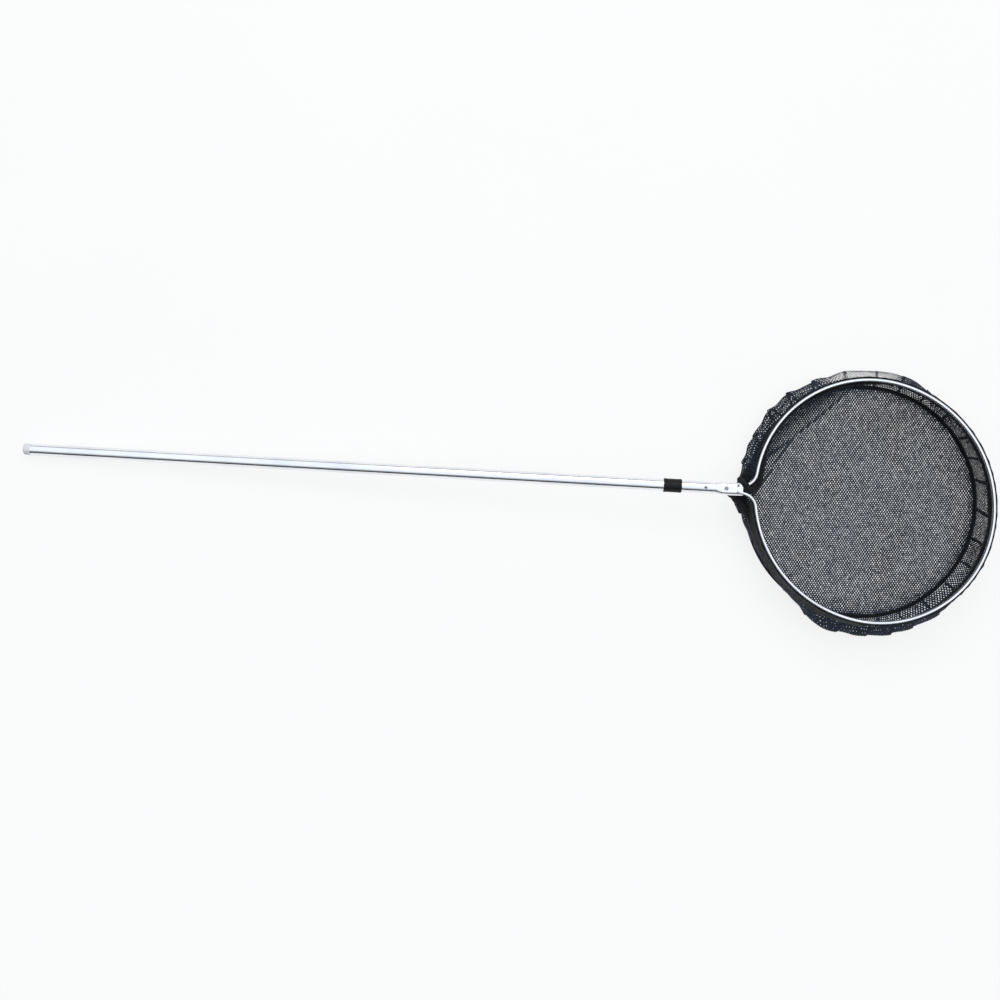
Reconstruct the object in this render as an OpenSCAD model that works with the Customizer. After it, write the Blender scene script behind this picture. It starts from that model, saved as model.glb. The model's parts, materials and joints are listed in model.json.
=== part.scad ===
// Pan-shaped skimmer net on a two-section telescopic pole, lying on a flat floor.
// The pole's far end and the flat bottom of the net bag touch z = 0, and the hoop
// stands clear of the floor, held up by the bag.  Along +X: pole, neck, hoop.

/* [Pole] */
// Length from the pole's far end to the neck's mouth, with the pole closed
reach = 1533; // [1400:1:1800]
// Outer diameter of the outer tube
pole_d = 25; // [24.8:0.1:26]
// Wall of the outer tube
pole_wall = 1.2; // [1.1:0.05:1.3]
// Outer diameter of the inner tube
inner_d = 22; // [21.6:0.1:22]
// Wall of the inner tube
inner_wall = 1; // [0.8:0.1:1.2]
// Height of the pole's axis above the floor at the neck's mouth
mouth_z = 89.6; // [75:0.2:110]

/* [Collar] */
// Outer diameter of the black collar
collar_d = 29; // [28:0.5:32]
// Length of the collar
collar_l = 37.5; // [30:0.5:50]

/* [Lock inside the pole] */
// Diameter of the eccentric ring that jams against the outer tube
cam_d = 21.2; // [20.6:0.1:21.6]
// How far the ring's spindle sits off the pole's axis
cam_off = 1.5; // [1:0.1:1.8]
// Length of the eccentric ring
cam_l = 15; // [10:1:20]
// Length of the split guide bush
bush_l = 11.2; // [8:0.2:16]

/* [Neck] */
// Length of the neck that carries the hoop
neck_l = 126; // [118:1:150]
// Outer diameter of the neck's round part
neck_d = 24.4; // [24.2:0.1:25]
// Length of the flattened mouth
mouth_l = 43; // [40:1:46]
// Width across the flattened mouth
mouth_w = 27.5; // [27.3:0.1:30]
// Height of the flattened mouth
mouth_h = 17; // [16:0.1:18]
// Length of the change from round to flattened
taper_l = 14; // [8:1:20]

/* [Hoop] */
// Mean radius of the hoop's oval, which has four quarter arcs
oval_mean = 247.75; // [247:0.25:250]
// How much the oval's tight arcs fall short of that, and its slack arcs pass it
oval_shift = 17.5; // [12:0.5:20]
// Direction of the oval's long axis, from the pole's line
oval_lean = 123; // [121:1:126]
// From the mouth to the middle of the oval
hoop_ahead = 271; // [270:0.5:275]
// How far the middle of the oval sits off the pole's line
hoop_aside = -9.2; // [-10:0.2:-8.4]
// Width of the hoop's rail, across the hoop
rail_w = 6.2; // [6:0.1:6.6]
// Height of the rail
rail_h = 8; // [7.6:0.1:9]
// Wall of the rail
rail_wall = 0.9; // [0.8:0.05:1]
// Height of the slot along the rail's outer face
slot_h = 3.2; // [2.8:0.1:3.6]
// From the pole's axis to each leg's centre line, in the mouth
leg_gap = 7.4; // [7:0.1:7.5]
// Bend of each leg, on its centre line
leg_bend = 32; // [26:1:32]

/* [Net bag] */
// Radius of the flat bottom, at its seam
bag_r = 248; // [240:1:252]
// From the mouth to the middle of the bottom
bag_ahead = 275; // [269:1:279]
// How far the middle of the bottom sits off the pole's line
bag_aside = -10; // [-12:1:-6]
// Depth of the black hem below the rail
hem_drop = 18; // [12:1:20]
// Thickness of the netting, drawn thicker than a real knit
net_t = 1; // [0.8:0.1:1.1]
// Pleats round the side wall
pleats = 24; // [16:4:32]
// Height of a pleat
pleat_h = 3.5; // [0:0.5:5]
// How far the slack wall stands out beyond the hoop, on average
bulge = 17; // [12:1:22]
// Spacing of the bottom net's gaps
gap_pitch = 27.5; // [27:0.5:40]
// Width of the bottom net's strands
strand = 3.2; // [2:0.1:6]

/* [Hidden] */
$fn = 96;
fine = 360;
clear = 0.05; // running fit, on the radius
lap = 0.5; // how far each leg's bend runs on into the lengths beside it
slim = 0.05; // how much thinner the bends are drawn on every side

pole_r = pole_d / 2;
bore_r = pole_r - pole_wall;
inner_r = inner_d / 2;
cam_r = cam_d / 2;
neck_r = neck_d / 2;
neck_bore = inner_r + clear;
neck_wall = neck_r - neck_bore;

// The cap, and the tube's end inside the collar, are a little slimmer than the tube
cap_r = pole_r - 0.3;
seat_r = pole_r - 0.3;
cap_edge = 3;

// The pole rises from its far end to the neck; the cap's lower edge just meets the floor
tilt = asin((mouth_z - cap_r) / reach);
foot_z = cap_r * cos(tilt) - cap_edge * sin(tilt);

// Stations along the pole's axis, from its far end
cap_t = 16;
collar_x = reach - neck_l - 0.5 - collar_l;
tube_end = collar_x + collar_l - 7.6;
lip_t = 1.6;
lock_x = 75; // rear end of the inner tube
flange_t = 3;
journal_r = 7.5;
spindle_r = 4.6;
journal_end = lock_x - flange_t - bush_l - 0.8;
spindle_end = journal_end - flange_t - cam_l - 1.4;
pin_x = lock_x + 13;
round_end = reach - mouth_l - taper_l;
inner_end = round_end - 2;
rivet_x = reach - 77;
bolt_x = reach - 34;
hoop_rivet_x = reach - 10;
leg_start = reach - mouth_l + 2;

// The hoop's oval: quarter arcs, tight and slack by turns, all tangent.  The first
// starts 45 degrees before the long axis.  A point of the oval is found by the
// direction of its normal.
hoop_mid = [reach + hoop_ahead, hoop_aside];
first_a = oval_lean - 45;
quarter_mids = oval_shift * [[1, 1], [1, -1], [-1, -1], [-1, 1]];
function quarter_r(k) = oval_mean + (k % 2 == 0 ? -1 : 1) * oval_shift;
function quarter(a) = floor((a - first_a + 720) / 90) % 4;
function way(a) = [cos(a), sin(a)];
function arc_r(a) = quarter_r(quarter(a));
function arc_mid(a) = let(m = quarter_mids[quarter(a)])
    hoop_mid + m[0] * way(first_a) + m[1] * way(first_a + 90);
function oval(a, out = 0) = arc_mid(a) + (arc_r(a) + out) * way(a);

// Each leg leaves the mouth along the pole's line and bends out until it is tangent
// to the oval.  side is 1 for the +Y leg and -1 for the other.
function leg_dir(side) = 180 - 8 * side;
function bend_mid(side) = let(
    m = arc_mid(leg_dir(side)),
    r = arc_r(leg_dir(side)) + leg_bend,
    y = side * (leg_gap + leg_bend))
    [m[0] - sqrt(r * r - (y - m[1]) * (y - m[1])), y];
function leg_a(side) = let(v = bend_mid(side) - arc_mid(leg_dir(side)))
    (atan2(v[1], v[0]) + 360) % 360;

// The rail's corners are bevelled
rail_cut = 1.4;

// The hem leaves the slot and grips the wall's top edge between two layers
sleeve_r = rail_w / 2 - rail_wall - 0.1;
cord_r = sleeve_r - 0.8;
layer = 0.6;
grip = net_t + 0.6;
hem_in = rail_w / 2 + 0.3;
wall_out = hem_in + layer + grip / 2;
hem_top = -rail_h / 2 - 0.5;
hem_low = hem_top - hem_drop;

// The whole object is centred on its length
far_x = arc_mid(0)[0] + arc_r(0) + hem_in + 2 * layer + grip;
mid_x = far_x * cos(tilt) / 2;
bag_mid = [reach * cos(tilt) + bag_ahead - mid_x, bag_aside];

// From the pole's own frame to the floor's
function floored(p) = [p[0] * cos(tilt) - p[2] * sin(tilt) - mid_x, p[1],
    p[0] * sin(tilt) + p[2] * cos(tilt) + foot_z];
module floored() {
    translate([-mid_x, 0, foot_z]) rotate([0, -tilt, 0]) children();
}

// A solid of revolution or a bar on the pole's axis, from its profile along x
module along(x0, length) {
    translate([x0, 0, 0]) rotate([90, 0, 90]) linear_extrude(length) children();
}
module turned(x0) {
    translate([x0, 0, 0]) rotate([0, 90, 0]) rotate_extrude() children();
}
module rod(x0, length, r) {
    translate([x0, 0, 0]) rotate([0, 90, 0]) cylinder(h = length, r = r);
}
module tube(x0, length, r, bore) {
    difference() {
        rod(x0, length, r);
        rod(x0 - 1, length + 2, bore);
    }
}
module post(x, y, z0, height, r) {
    translate([x, y, z0]) cylinder(h = height, r = r);
}

// The same section swept round the oval, round a leg's bend and down a leg.
// Quarters meet face to face; a part of a quarter starts from one of its ends.
module quarter_arc(k, sweep = 90, backward = false) {
    translate(quarter_mids[k]) rotate([0, 0, 90 * (k + (backward ? 1 : 0))])
        mirror([0, backward ? 1 : 0, 0]) rotate_extrude(angle = sweep, $fn = fine)
            translate([quarter_r(k), 0]) children();
}
module in_oval() {
    translate(hoop_mid) rotate([0, 0, first_a]) children();
}
module round_oval() {
    in_oval() for (k = [0 : 3]) quarter_arc(k) children();
}

// As far as the legs: the oval's second quarter has the gap between them
module round_rail() {
    in_oval() {
        for (k = [0, 2, 3]) quarter_arc(k) children();
        quarter_arc(1, leg_a(1) - first_a - 90) children();
        quarter_arc(1, first_a + 180 - leg_a(-1), true) children();
    }
}
function lap_a(r) = lap / r * 180 / PI;
module round_bend(side) {
    m = bend_mid(side);
    turn = leg_a(side) - 180;
    from = side > 0 ? -90 : turn;
    sweep = side > 0 ? turn + 90 : 90 - turn;
    translate([m[0], m[1], 0]) rotate([0, 0, from - lap_a(leg_bend)])
        rotate_extrude(angle = sweep + 2 * lap_a(leg_bend))
            translate([leg_bend, 0]) mirror([1, 0]) children();
}
module down_leg(side) {
    translate([leg_start, side * leg_gap, 0]) rotate([90, 0, 90])
        linear_extrude(bend_mid(side)[0] - leg_start)
            mirror([side > 0 ? 0 : 1, 0]) children();
}

// ---- the pole ----
// Turned down where the collar is pressed on, against the shoulder
module outer_tube() {
    color("lightsteelblue") floored() difference() {
        union() {
            rod(cap_t, collar_x - cap_t, pole_r);
            rod(collar_x, tube_end - collar_x, seat_r);
        }
        rod(cap_t - 1, tube_end - cap_t + 2, bore_r);
    }
}

// Cap with a rounded, hollow head, and a spigot with three grip rings
module end_plug() {
    spigot = 18;
    cap_bore = 8;
    cap_end = 3.2;
    color("gainsboro") floored() turned(0) difference() {
        union() {
            polygon([[0, 0], [cap_r - cap_edge, 0], [cap_r - 1.4, 0.45], [cap_r - 0.45, 1.4],
                [cap_r, cap_edge], [cap_r, cap_t], [0, cap_t]]);
            translate([0, cap_t]) square([bore_r - 0.35, spigot]);
            for (i = [0 : 2])
                translate([0, cap_t + 3 + 6 * i]) square([bore_r - clear, 2]);
        }
        translate([-1, cap_end]) square([cap_bore + 1, cap_t + spigot]);
    }
}

// Moulded sleeve over the tube's end, with a lip that keeps the bush in
module pole_collar() {
    r = collar_d / 2;
    color([0.09, 0.09, 0.1]) floored() turned(collar_x) polygon([
        [seat_r + clear, 0], [r - 1.4, 0], [r - 0.4, 0.5], [r, 1.6],
        [r, 5], [r - 0.35, 5.8], [r - 0.35, collar_l - 5.8], [r, collar_l - 5],
        [r, collar_l - 1.6], [r - 0.4, collar_l - 0.5], [r - 1.4, collar_l],
        [inner_r + 0.9, collar_l], [inner_r + 0.4, collar_l - 0.6],
        [inner_r + 0.4, collar_l - lip_t], [seat_r + clear, collar_l - lip_t]]);
}

module collar_bush() {
    color("whitesmoke") floored()
        tube(tube_end + 0.2, 5.6, seat_r, inner_r + clear);
}

// ---- the lock at the rear of the inner tube ----
// Split ring that keeps the inner tube central; it slides but doesn't turn
module guide_bush() {
    color("whitesmoke") floored() difference() {
        tube(journal_end + 0.4, bush_l, bore_r - clear, journal_r + clear);
        translate([journal_end, -0.8, 0]) cube([bush_l + 1, 1.6, bore_r + 1]);
    }
}

// Ring on the off-centre spindle: turned either way, it jams in the outer tube
module cam_ring() {
    x0 = spindle_end + 1;
    color("khaki") floored() difference() {
        rod(x0, cam_l, cam_r);
        translate([0, cam_off, 0]) rod(x0 - 1, cam_l + 2, spindle_r + clear);
        for (i = [0 : 17]) rotate([20 * i, 0, 0])
            translate([x0 - 1, cam_r + 0.1, 0]) rotate([0, 90, 0])
                cylinder(h = cam_l + 2, r = 0.5, $fn = 24);
    }
}

module inner_tube() {
    color("silver") floored() difference() {
        tube(lock_x, inner_end - lock_x, inner_r, inner_r - inner_wall);
        post(pin_x, 0, -pole_r, pole_d, 1.55);
        post(rivet_x, 0, 0, pole_r, 1.95);
    }
}

// Plug in the inner tube: spigot, two flanges with a journal between, spindle
module lock_plug() {
    spigot_r = inner_r - inner_wall - clear;
    color("dimgray") floored() difference() {
        union() {
            rod(lock_x, 26, spigot_r);
            rod(lock_x - flange_t, flange_t, inner_r - 0.1);
            rod(journal_end, lock_x - flange_t - journal_end, journal_r);
            rod(journal_end - flange_t, flange_t, cam_r - 0.1);
            translate([0, cam_off, 0])
                rod(spindle_end, journal_end - flange_t - spindle_end, spindle_r);
        }
        post(pin_x, 0, -pole_r, pole_d, 1.55);
        translate([0, cam_off, 0]) rod(spindle_end - 1, 16, 1.95);
        rod(lock_x + 18, 9, 6);
    }
}

module lock_pin() {
    color("silver") floored() post(pin_x, 0, 0.1 - inner_r, inner_d - 0.2, 1.5);
}

module cam_washer() {
    color("silver") floored() translate([0, cam_off, 0])
        tube(spindle_end - 0.8, 0.8, 6.5, 2.05);
}

// Pan-head screw with a cross recess
module cam_screw() {
    head = 2.6;
    color("silver") floored() translate([spindle_end - 0.8, cam_off, 0]) difference() {
        union() {
            translate([-head, 0, 0]) rotate([0, 90, 0]) rotate_extrude()
                polygon([[0, 0], [2.6, 0], [3.6, 0.7], [4, 1.6], [4, head], [0, head]]);
            rod(0, 13, 1.9);
        }
        for (a = [0, 90]) rotate([a, 0, 0])
            translate([-head - 1, -2, -0.35]) cube([2.2, 4, 0.7]);
    }
}

// ---- the neck ----
module oblong(w, h) {
    square([w - h, h], center = true);
    for (s = [-1, 1]) translate([s * (w - h) / 2, 0]) circle(d = h);
}

// Round, then pressed towards an oblong: grow adds to every side
module neck_form(grow, over) {
    r = neck_bore + grow;
    w = mouth_w + 2 * (grow - neck_wall);
    h = mouth_h + 2 * (grow - neck_wall);
    rod(reach - neck_l - over, neck_l - mouth_l - taper_l + over, r);
    hull() {
        translate([round_end, 0, 0]) rotate([0, 90, 0]) cylinder(h = 0.01, r = r, $fn = 32);
        along(reach - mouth_l - 0.01, 0.01) oblong(w, h, $fn = 32);
    }
    along(reach - mouth_l, mouth_l + over) oblong(w, h);
}
module neck_tube() {
    color("lightgray") floored() difference() {
        neck_form(neck_wall, 0);
        neck_form(0, 1);
        post(rivet_x, 0, 0, pole_r + 2, 1.95);
        post(bolt_x, 0, -mouth_h, 2 * mouth_h, 2.1);
        for (s = [-1, 1]) post(hoop_rivet_x, s * leg_gap, -mouth_h, 2 * mouth_h, 1.65);
    }
}

// Blind rivet: domed head outside, swelled tail inside, mandrel hole through both
module neck_rivet() {
    tail = inner_r - inner_wall;
    color("silver") floored() translate([rivet_x, 0, 0]) rotate_extrude(convexity = 4)
        polygon([[0.8, tail - 1.8], [2.2, tail - 1.8], [2.8, tail - 1], [2.4, tail - 0.25],
            [1.9, tail - 0.25], [1.9, neck_r + 0.05], [3.3, neck_r + 0.05],
            [3.1, neck_r + 0.6], [2.3, neck_r + 1.2], [1.1, neck_r + 1.45],
            [0.8, neck_r + 1.3]]);
}

// Moulded block that holds the two legs apart in the mouth.  It stops short of the
// mouth's end, where the legs begin to bend apart.
module mouth_insert() {
    fit = 2 * (neck_wall + 0.15);
    short = 4;
    color([0.1, 0.1, 0.11]) floored() difference() {
        along(leg_start - 1, reach - short - leg_start + 1) oblong(mouth_w - fit, mouth_h - fit);
        for (s = [-1, 1])
            translate([leg_start - 2, s * leg_gap - rail_w / 2 - 0.1, -rail_h / 2 - 0.1])
                cube([mouth_l + 4, rail_w + 0.2, rail_h + 0.2]);
        post(bolt_x, 0, -mouth_h, 2 * mouth_h, 2.1);
        for (s = [-1, 1]) post(hoop_rivet_x, s * leg_gap, -mouth_h, 2 * mouth_h, 1.65);
    }
}

// Button-head bolt that clamps the mouth on the insert, with its nut
module clamp_bolt() {
    top = mouth_h / 2;
    color("silver") floored() translate([bolt_x, 0, 0]) difference() {
        union() {
            translate([0, 0, top]) rotate_extrude()
                polygon([[0, 0], [4.2, 0], [4.2, 0.6], [3.7, 1.5], [2.8, 2.1], [0, 2.4]]);
            post(0, 0, -top - 5, mouth_h + 5, 2);
        }
        translate([0, 0, top + 1]) cylinder(h = 3, r = 1.45, $fn = 6);
    }
}
module clamp_nut() {
    color("silver") floored() translate([bolt_x, 0, -mouth_h / 2 - 3.2]) difference() {
        cylinder(h = 3.2, r = 4.04, $fn = 6);
        post(0, 0, -1, 6, 2.05);
    }
}

// Two solid rivets through the mouth, the insert and the legs
module hoop_rivets() {
    top = mouth_h / 2;
    color("silver") floored() for (s = [-1, 1]) translate([hoop_rivet_x, s * leg_gap, 0])
        rotate_extrude() polygon([[0, -top - 1.5], [1.2, -top - 1.4], [2.2, -top - 0.9],
            [2.8, -top], [1.6, -top], [1.6, top], [2.8, top], [2.2, top + 0.9],
            [1.2, top + 1.4], [0, top + 1.5]]);
}

// ---- the hoop ----
// Rail section: u points out of the hoop, the slot is in its outer face
module bevelled(w, h, cut) {
    polygon([[-w, cut - h], [cut - w, -h], [w - cut, -h], [w, cut - h],
        [w, h - cut], [w - cut, h], [cut - w, h], [-w, h - cut]]);
}
module rail_section(less = 0) {
    w = rail_w / 2 - less;
    h = rail_h / 2 - less;
    difference() {
        bevelled(w, h, rail_cut);
        bevelled(w - rail_wall, h - rail_wall, rail_cut - rail_wall * (2 - sqrt(2)));
        translate([0, less - slot_h / 2]) square([rail_w, slot_h - 2 * less]);
    }
}
module hoop() {
    color("gainsboro") floored() difference() {
        union() {
            round_rail() rail_section();
            for (s = [-1, 1]) {
                round_bend(s) rail_section(slim);
                down_leg(s) rail_section();
            }
        }
        for (s = [-1, 1]) post(hoop_rivet_x, s * leg_gap, -rail_h, 2 * rail_h, 1.65);
    }
}

// ---- the net bag ----
// Cord that the hem's sleeve holds in the rail, and on round each leg's bend
module rim_cord() {
    color([0.06, 0.06, 0.07]) floored() {
        round_rail() circle(cord_r, $fn = 12);
        for (s = [-1, 1]) round_bend(s) circle(cord_r - slim, $fn = 12);
    }
}

module hem_band() {
    color([0.05, 0.05, 0.06]) floored() {
        round_rail() difference() {
            union() {
                circle(sleeve_r, $fn = 32);
                translate([0, -1.1]) square([hem_in + layer, 2.2]);
                translate([hem_in, hem_top - 0.2]) square([layer, 1.3 - hem_top]);
            }
            circle(cord_r + clear, $fn = 32);
        }
        round_oval() translate([hem_in, hem_low]) difference() {
            square([grip + 2 * layer, hem_drop]);
            translate([layer, -1]) square([grip, hem_drop]);
        }
    }
}

// Puckered bunch of hem under the mouth, where the rail is open: a fluted roll,
// slim at its ends, with four puckers along it
module throat_gather() {
    rings = 16;
    sides = 12;
    from = 170;
    to = 194;
    fat = 7;
    slim_end = 0.5;
    pucker = 0.05;
    flute = 0.12;
    roll_out = wall_out + grip / 2 + layer + fat + 0.8;
    roll_z = -mouth_h / 2 - fat - 0.5;
    function at(i, j) = let(
        t = i / rings,
        a = from + (to - from) * t,
        body = slim_end + (1 - slim_end - pucker) * sin(180 * t) + pucker * cos(4 * 360 * t),
        r = fat * body * (1 - flute * (j % 2)),
        p = oval(a, roll_out + r * cos(360 * j / sides)))
        floored([p[0], p[1], roll_z + r * sin(360 * j / sides)]);
    points = [for (i = [0 : rings]) for (j = [0 : sides - 1]) at(i, j)];
    faces = [for (i = [0 : rings - 1]) for (j = [0 : sides - 1]) for (k = [0, 1])
        let(p = i * sides + j, q = i * sides + (j + 1) % sides)
        k == 0 ? [p, q, q + sides] : [p, q + sides, p + sides]];
    ends = [[for (j = [sides - 1 : -1 : 0]) j], [for (j = [0 : sides - 1]) rings * sides + j]];
    color([0.04, 0.04, 0.05]) polyhedron(points, concat(faces, ends), convexity = 4);
}

// Slack of the wall by direction: next to none at the far side, more along both
// flanks, and a tuck near one corner where the wall is pulled in
tuck_a = -137;
tuck_wide = 20;
tuck = 20;
sway = 8;
function slack(a) = bulge - sway * cos(a) - sway * cos(2 * a)
    - tuck * exp(-pow(((a - tuck_a + 540) % 360 - 180) / tuck_wide, 2));
seam_r = bag_r + 1.6;
seam_h = 3.4;

// Side wall: a closed sheet from the hem's grip, out in pleats, down to the seam
module side_wall() {
    rings = 4 * pleats;
    fall = [0, 0.36, 0.74, 1];
    rows = len(fall) + 2;
    function swell(f) = sin(180 * pow(f, 0.8));
    function hang(a, f, out) = let(
        top = floored(concat(oval(a, wall_out), hem_low - 0.4)),
        low = concat(bag_mid + seam_r * way(a), seam_h + 0.4),
        push = swell(f) * (slack(a) + pleat_h * cos(pleats * a)) + out)
        top * (1 - f) + low * f + push * concat(way(a), 0);
    function sheet_at(a, row, out) =
        row == 0 ? floored(concat(oval(a, wall_out + out), hem_top - 3))
        : row == rows - 1 ? concat(bag_mid + (seam_r + out) * way(a), 1.6)
        : hang(a, fall[row - 1], out);
    loop = 2 * rows;
    points = [for (i = [0 : rings - 1]) for (j = [0 : loop - 1])
        sheet_at(360 * i / rings, j < rows ? j : loop - 1 - j, (j < rows ? 0.5 : -0.5) * net_t)];
    // Both faces of the sheet are split along the same diagonals
    faces = [for (i = [0 : rings - 1]) for (j = [0 : loop - 1]) for (k = [0, 1])
        let(i2 = (i + 1) % rings, j2 = (j + 1) % loop, p = i * loop, q = i2 * loop)
        j < rows ? (k == 0 ? [p + j, q + j, q + j2] : [p + j, q + j2, p + j2])
        : (k == 0 ? [p + j, q + j, p + j2] : [q + j, q + j2, p + j2])];
    color([0.16, 0.17, 0.2]) polyhedron(points, faces, convexity = 8);
}

// Flat ring of folded tape: the panel's edge goes in from inside, the wall's from above
module seam_binding() {
    grip_half = grip / 2;
    color([0.05, 0.05, 0.06]) translate([bag_mid[0], bag_mid[1], 0])
        rotate_extrude($fn = fine) difference() {
            translate([bag_r - 4, 0]) square([8.4, seam_h]);
            translate([bag_r - 5, 0.8]) square([4.6, 1.6]);
            translate([seam_r - grip_half, 1.3]) square([grip, seam_h]);
        }
}

// Flat bottom: a hexagonal net inside a plain rim
module bottom_panel() {
    rim_r = bag_r - 0.9;
    net_r = bag_r - 8;
    gap_r = (gap_pitch - strand) / sqrt(3);
    row_step = gap_pitch * sqrt(3) / 2;
    n = ceil(net_r / row_step);
    color([0.2, 0.22, 0.26]) translate([bag_mid[0], bag_mid[1], 0.9])
        linear_extrude(1.4) difference() {
            circle(rim_r, $fn = fine);
            for (j = [-n : n]) for (i = [-n - 1 : n + 1]) {
                p = [(i + (j % 2 == 0 ? 0 : 0.5)) * gap_pitch, j * row_step];
                if (norm(p) < net_r - gap_r) translate(p) rotate(30) circle(gap_r, $fn = 6);
            }
        }
}

outer_tube();
end_plug();
pole_collar();
collar_bush();
guide_bush();
cam_ring();
inner_tube();
lock_plug();
lock_pin();
cam_washer();
cam_screw();
neck_tube();
neck_rivet();
mouth_insert();
clamp_bolt();
clamp_nut();
hoop_rivets();
hoop();
rim_cord();
hem_band();
throat_gather();
side_wall();
seam_binding();
bottom_panel();
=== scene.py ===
# Leaf skimmer net on a telescopic pole: finishes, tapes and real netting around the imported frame
import json
import math
import bpy
import numpy as np
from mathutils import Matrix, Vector


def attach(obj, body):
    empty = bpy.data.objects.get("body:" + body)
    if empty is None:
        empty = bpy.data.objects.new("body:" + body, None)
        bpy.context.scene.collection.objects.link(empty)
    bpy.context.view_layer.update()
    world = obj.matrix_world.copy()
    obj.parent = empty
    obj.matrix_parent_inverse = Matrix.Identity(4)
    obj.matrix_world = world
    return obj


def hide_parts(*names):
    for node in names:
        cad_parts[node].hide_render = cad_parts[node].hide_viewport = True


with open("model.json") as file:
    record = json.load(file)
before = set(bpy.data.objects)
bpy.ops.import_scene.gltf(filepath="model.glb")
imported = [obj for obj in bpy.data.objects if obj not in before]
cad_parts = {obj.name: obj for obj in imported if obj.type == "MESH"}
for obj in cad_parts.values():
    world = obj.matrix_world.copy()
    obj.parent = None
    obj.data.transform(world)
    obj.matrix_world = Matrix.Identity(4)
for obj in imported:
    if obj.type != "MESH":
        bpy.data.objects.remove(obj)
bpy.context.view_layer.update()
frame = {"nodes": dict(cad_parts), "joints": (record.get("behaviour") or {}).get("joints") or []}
nodes = frame["nodes"]
mm = 0.001
print("frame loaded:", len(nodes), "nodes")

# The tool's own measures in mm, in the pole's frame: x down the pole, z up from its axis
tool = {
    "reach": 1533,          # pole's far end to the neck's mouth
    "twistX": 66.0,         # station of the twist joint
    "legGap": 7.4,          # pole's axis to each leg of the hoop
    "legBend": 32,          # radius of the legs' bends
    "ovalMean": 247.75,     # mean radius of the oval's four quarter arcs
    "ovalShift": 17.5,      # how far each arc's radius is from the mean
    "ovalLean": 123,        # direction of its long axis
    "hoopAhead": 271,       # from the mouth to the hoop's middle
    "hoopAside": -9.2,
    "railWidth": 6.2,
    "railHeight": 8,
    "sleeve": 2.0,          # radii of the hem's sleeve and of the cord in it
    "cord": 1.3,
    "bagRadius": 248,       # of the bottom seam
    "bagAhead": 275,        # from below the mouth to the seam's middle, along the floor
    "bagAside": -10,
    "wallOut": 4.8,         # rail's middle to the net's top edge
}
joints = {j["name"]: j for j in frame["joints"]}
poleAxis = Vector(joints["pole_slide"]["axis"])
tilt = math.asin(poleAxis.z)
twistAt = joints["pole_twist"]["pos_m"]
midX = tool["twistX"] * math.cos(tilt) - twistAt[0] / mm
footZ = twistAt[2] / mm - tool["twistX"] * math.sin(tilt)
hoopMid = np.array([tool["reach"] + tool["hoopAhead"], tool["hoopAside"]])
bagMid = np.array([tool["reach"] * math.cos(tilt) + tool["bagAhead"] - midX, tool["bagAside"]])
firstA = tool["ovalLean"] - 45
quarterMids = tool["ovalShift"] * np.array([[1, 1], [1, -1], [-1, -1], [-1, 1]])


def way(a):
    a = np.radians(a)
    return np.stack([np.cos(a), np.sin(a)], axis=-1)


def arcAt(a):
    # centre and radius of the quarter arc whose normals take in direction a
    k = (np.floor((np.asarray(a, float) - firstA + 720) / 90) % 4).astype(int)
    m = quarterMids[k]
    radius = tool["ovalMean"] + np.where(k % 2 == 0, -1, 1) * tool["ovalShift"]
    return hoopMid + m[..., :1] * way(firstA) + m[..., 1:] * way(firstA + 90), radius


def ovalPoint(a, out=0.0):
    # point of the hoop's oval whose normal has direction a, moved out along it
    mid, radius = arcAt(a)
    return mid + (radius + out)[..., None] * way(a)


def legBendOf(side):
    # centre of a leg's bend, and the direction at which it meets the oval
    towardsLeg = 180 - 8 * side
    mid, radius = arcAt(towardsLeg)
    y = side * (tool["legGap"] + tool["legBend"])
    x = mid[0] - math.sqrt((radius + tool["legBend"]) ** 2 - (y - mid[1]) ** 2)
    return np.array([x, y]), math.degrees(math.atan2(y - mid[1], x - mid[0])) % 360


def toFloor(x, y, z):
    # from the pole's frame to the floor's
    x, y, z = np.broadcast_arrays(x, y, z)
    return np.stack([x * math.cos(tilt) - z * math.sin(tilt) - midX, y,
                     x * math.sin(tilt) + z * math.cos(tilt) + footZ], axis=-1)


def byAngle(pairs, a):
    # smooth closed curve through a few (angle, value) pairs
    angles = np.array([p[0] for p in pairs], float)
    values = np.array([p[1] for p in pairs], float)
    n = len(pairs)
    a = np.asarray(a, float) % 360
    k = np.searchsorted(angles, a, side="right") - 1
    low, high = angles[k % n], angles[(k + 1) % n]
    t = ((a - low) % 360) / np.maximum((high - low) % 360, 1e-6)
    p0, p1, p2, p3 = (values[(k + i) % n] for i in (-1, 0, 1, 2))
    cubic = 3 * (p1 - p2) + p3 - p0
    return p1 + 0.5 * t * (p2 - p0 + t * (2 * p0 - 5 * p1 + 4 * p2 - p3 + t * cubic))


def wobble(a, seed, waves, size, first=2):
    # repeatable unevenness round the ring, of so many waves from the first on
    rng = np.random.default_rng(seed)
    total = np.zeros_like(np.asarray(a, float))
    for i in range(first, first + waves):
        total += (rng.normal() * np.cos(np.radians(i * a) + rng.uniform(0, 2 * math.pi))
                  * math.sqrt(first / 2 / i))
    return size * total


def eased(values, width):
    # running mean over so many stations, with the ends held
    return np.convolve(np.pad(values, width // 2, mode="edge"), np.ones(width) / width, mode="valid")


def linear(hexCode):
    parts = [int(hexCode[i:i + 2], 16) / 255 for i in (1, 3, 5)]
    return [c / 12.92 if c <= 0.04045 else ((c + 0.055) / 1.055) ** 2.4 for c in parts] + [1]


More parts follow.
